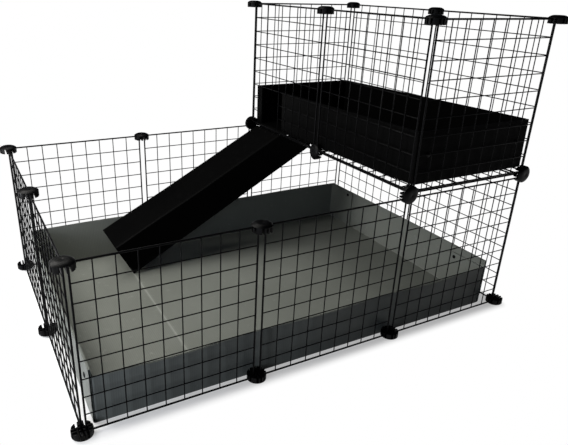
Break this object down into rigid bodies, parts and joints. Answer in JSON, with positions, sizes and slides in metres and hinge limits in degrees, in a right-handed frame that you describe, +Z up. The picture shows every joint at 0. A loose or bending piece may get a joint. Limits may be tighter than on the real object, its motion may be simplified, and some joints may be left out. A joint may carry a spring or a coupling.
{
  "type": "modular pet cage",
  "caption": "Two-level open-topped pet cage of square wire grids in round push connectors, with a folded sheet tray on each level and a hinged ramp up to the loft.",
  "frame": {"origin": "on the floor, under the middle of the cage's outer box", "axes": "+X along the cage to the loft end, +Y to the back, +Z up"},
  "size_m": [1.143, 0.776, 0.734],
  "materials": {
    "panel_wire": "black powder coat, semi-matte",
    "connector": "moulded black plastic, fine grain",
    "base_sheet": "grey corrugated plastic sheet, faint flutes",
    "loft_sheet": "black corrugated plastic sheet, faint flutes",
    "rivet": "moulded black plastic",
    "tie": "black nylon"
  },
  "bodies": {
    "base_tray": {"base_tray": "base_sheet", "base_tray_rivets": "rivet"},
    "wire_frame": {"back_panel_1": "panel_wire", "back_panel_2": "panel_wire", "back_panel_3": "panel_wire", "foot_connector_1": "connector", "foot_connector_10": "connector", "foot_connector_2": "connector", "foot_connector_3": "connector", "foot_connector_4": "connector", "foot_connector_5": "connector", "foot_connector_6": "connector", "foot_connector_7": "connector", "foot_connector_8": "connector", "foot_connector_9": "connector", "front_panel_1": "panel_wire", "front_panel_2": "panel_wire", "front_panel_3": "panel_wire", "left_panel_1": "panel_wire", "left_panel_2": "panel_wire", "loft_back_panel_1": "panel_wire", "loft_connector_1": "connector", "loft_connector_2": "connector", "loft_connector_3": "connector", "loft_connector_4": "connector", "loft_connector_5": "connector", "loft_connector_6": "connector", "loft_doorway_panel": "panel_wire", "loft_front_panel_1": "panel_wire", "loft_left_panel_1": "panel_wire", "loft_right_panel_1": "panel_wire", "loft_right_panel_2": "panel_wire", "right_panel_1": "panel_wire", "right_panel_2": "panel_wire", "rim_connector_1": "connector", "rim_connector_2": "connector", "rim_connector_3": "connector", "rim_connector_4": "connector", "rim_connector_5": "connector", "shelf_connector_1": "connector", "shelf_connector_2": "connector", "shelf_connector_3": "connector", "shelf_connector_4": "connector", "shelf_connector_5": "connector", "shelf_connector_6": "connector", "shelf_panel_1": "panel_wire", "shelf_panel_2": "panel_wire"},
    "loft_tray": {"loft_tray": "loft_sheet", "loft_tray_rivets": "rivet"},
    "ramp": {"ramp": "loft_sheet", "ramp_ties": "tie"}
  },
  "joints": [
    {"name": "frame_lift", "type": "slide", "parent": "base_tray", "child": "wire_frame", "axis": [0, 0, 1], "range_m": [0, 0.16]},
    {"name": "loft_tray_lift", "type": "slide", "parent": "wire_frame", "child": "loft_tray", "axis": [0, 0, 1], "range_m": [0, 0.2]},
    {"name": "ramp_hinge", "type": "hinge", "parent": "wire_frame", "child": "ramp", "pos_m": [0.1915, 0.2645, 0.367], "axis": [0, 1, 0], "range_deg": [0, 40]}
  ]
}
